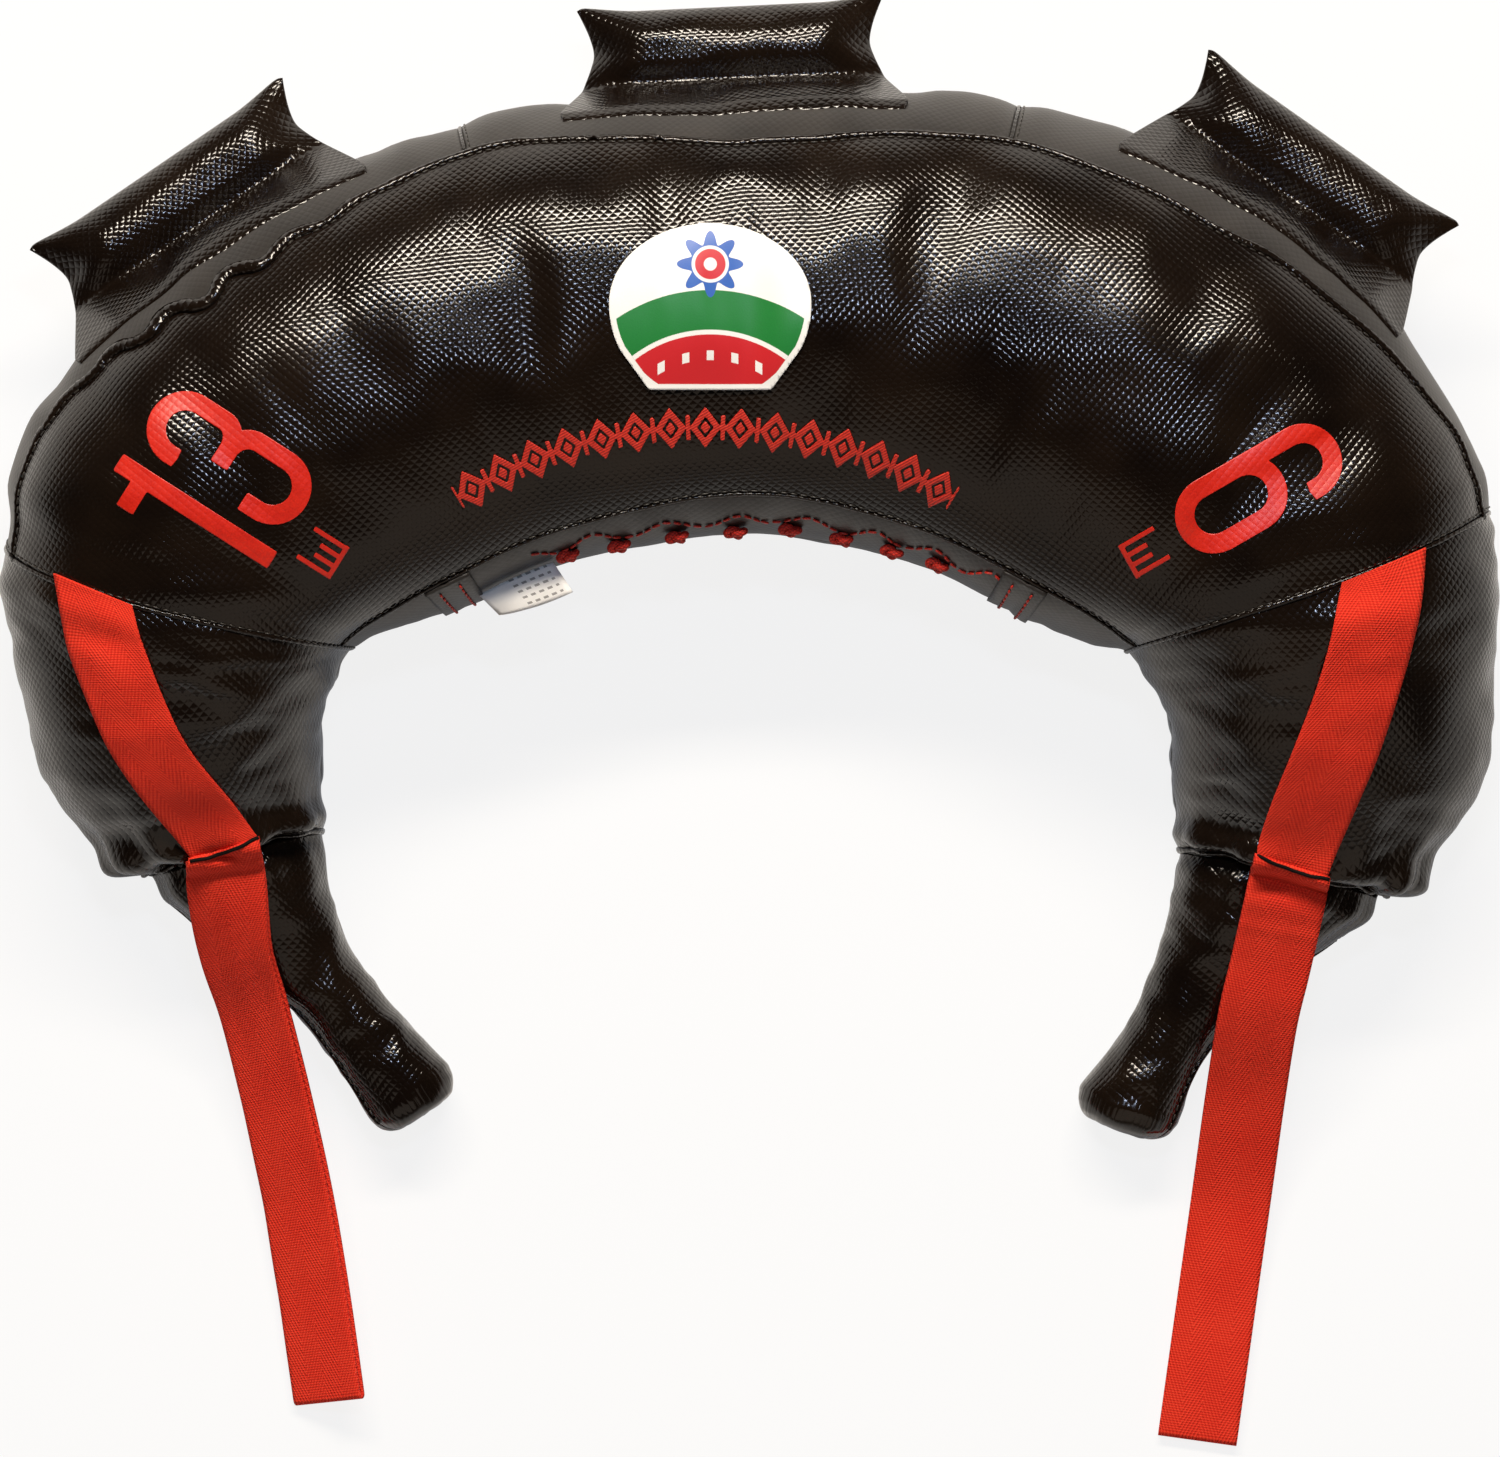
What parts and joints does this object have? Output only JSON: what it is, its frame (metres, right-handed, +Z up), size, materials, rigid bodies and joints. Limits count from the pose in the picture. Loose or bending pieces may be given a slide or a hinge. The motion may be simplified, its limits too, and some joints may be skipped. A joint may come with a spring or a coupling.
{
  "type": "bulgarian bag",
  "caption": "Crescent training bag of coated fabric filled with sand and wool, with grip handles, two horns and strap loops.",
  "frame": {"origin": "bottom centre of the bounding box, on the floor under the open neck of the crescent", "axes": "+X across the bag to the right horn as seen from the front, +Y from the horns to the centre handle, +Z up out of the front panel"},
  "size_m": [0.559, 0.5503, 0.1348],
  "materials": {
    "black_tarpaulin": "gloss",
    "red_webbing": "matte",
    "red_lace": "matte",
    "wool": "matte",
    "sand": "matte",
    "foam": "matte",
    "black_thread": "matte",
    "white_label": "matte",
    "printed_badge": "satin"
  },
  "bodies": {
    "bag": {"front_panel": "black_tarpaulin", "back_panel": "black_tarpaulin", "outer_gusset_left": "black_tarpaulin", "outer_gusset_centre": "black_tarpaulin", "outer_gusset_right": "black_tarpaulin", "inner_gusset_left": "black_tarpaulin", "inner_gusset_right": "black_tarpaulin", "closing_flap_front": "black_tarpaulin", "closing_flap_back": "black_tarpaulin", "closing_patch_left": "black_tarpaulin", "closing_patch_right": "black_tarpaulin", "closing_lace": "red_lace", "left_end_front": "black_tarpaulin", "left_end_back": "black_tarpaulin", "right_end_front": "black_tarpaulin", "right_end_back": "black_tarpaulin", "wool_batting_front": "wool", "wool_batting_back": "wool", "sand_tube": "sand", "left_strap": "red_webbing", "right_strap": "red_webbing", "care_label": "white_label", "badge_patch": "printed_badge", "left_handle_skirt_front": "black_tarpaulin", "left_handle_skirt_back": "black_tarpaulin", "left_handle_stitching": "black_thread", "centre_handle_skirt_front": "black_tarpaulin", "centre_handle_skirt_back": "black_tarpaulin", "centre_handle_stitching": "black_thread", "right_handle_skirt_front": "black_tarpaulin", "right_handle_skirt_back": "black_tarpaulin", "right_handle_stitching": "black_thread"},
    "left_handle": {"left_handle_sleeve": "black_tarpaulin", "left_handle_core": "foam"},
    "centre_handle": {"centre_handle_sleeve": "black_tarpaulin", "centre_handle_core": "foam"},
    "right_handle": {"right_handle_sleeve": "black_tarpaulin", "right_handle_core": "foam"},
    "left_horn": {"left_horn_front": "black_tarpaulin", "left_horn_back": "black_tarpaulin", "left_horn_stuffing": "wool"},
    "left_strap_loop": {"left_loop": "red_webbing"},
    "right_horn": {"right_horn_front": "black_tarpaulin", "right_horn_back": "black_tarpaulin", "right_horn_stuffing": "wool"},
    "right_strap_loop": {"right_loop": "red_webbing"}
  },
  "joints": [
    {"name": "left_handle_tilt", "type": "hinge", "parent": "bag", "child": "left_handle", "pos_m": [-0.2075, 0.18961, 0.06159], "axis": [0.8263, 0.5632, 0], "range_deg": [-35, 35], "stiffness_Nm_per_rad": 0.4},
    {"name": "centre_handle_tilt", "type": "hinge", "parent": "bag", "child": "centre_handle", "pos_m": [-0.00614, 0.24484, 0.06264], "axis": [0.9989, 0.0478, 0], "range_deg": [-35, 35], "stiffness_Nm_per_rad": 0.4},
    {"name": "right_handle_tilt", "type": "hinge", "parent": "bag", "child": "right_handle", "pos_m": [0.20366, 0.19964, 0.06159], "axis": [0.8179, -0.5753, 0], "range_deg": [-35, 35], "stiffness_Nm_per_rad": 0.4},
    {"name": "left_horn_fold", "type": "hinge", "parent": "bag", "child": "left_horn", "pos_m": [-0.1946, -0.0487, 0.0665], "axis": [-0.9627, -0.2705, 0], "range_deg": [0, 40]},
    {"name": "right_horn_fold", "type": "hinge", "parent": "bag", "child": "right_horn", "pos_m": [0.201, -0.0563, 0.0665], "axis": [-0.9709, 0.2393, 0], "range_deg": [0, 40]},
    {"name": "left_loop_lift", "type": "hinge", "parent": "left_horn", "child": "left_strap_loop", "pos_m": [-0.1985, -0.0523, 0.064], "axis": [-0.9829, -0.1843, 0], "range_deg": [0, 100]},
    {"name": "right_loop_lift", "type": "hinge", "parent": "right_horn", "child": "right_strap_loop", "pos_m": [0.2019, -0.0596, 0.0638], "axis": [-0.9778, 0.2095, 0], "range_deg": [0, 100]}
  ]
}
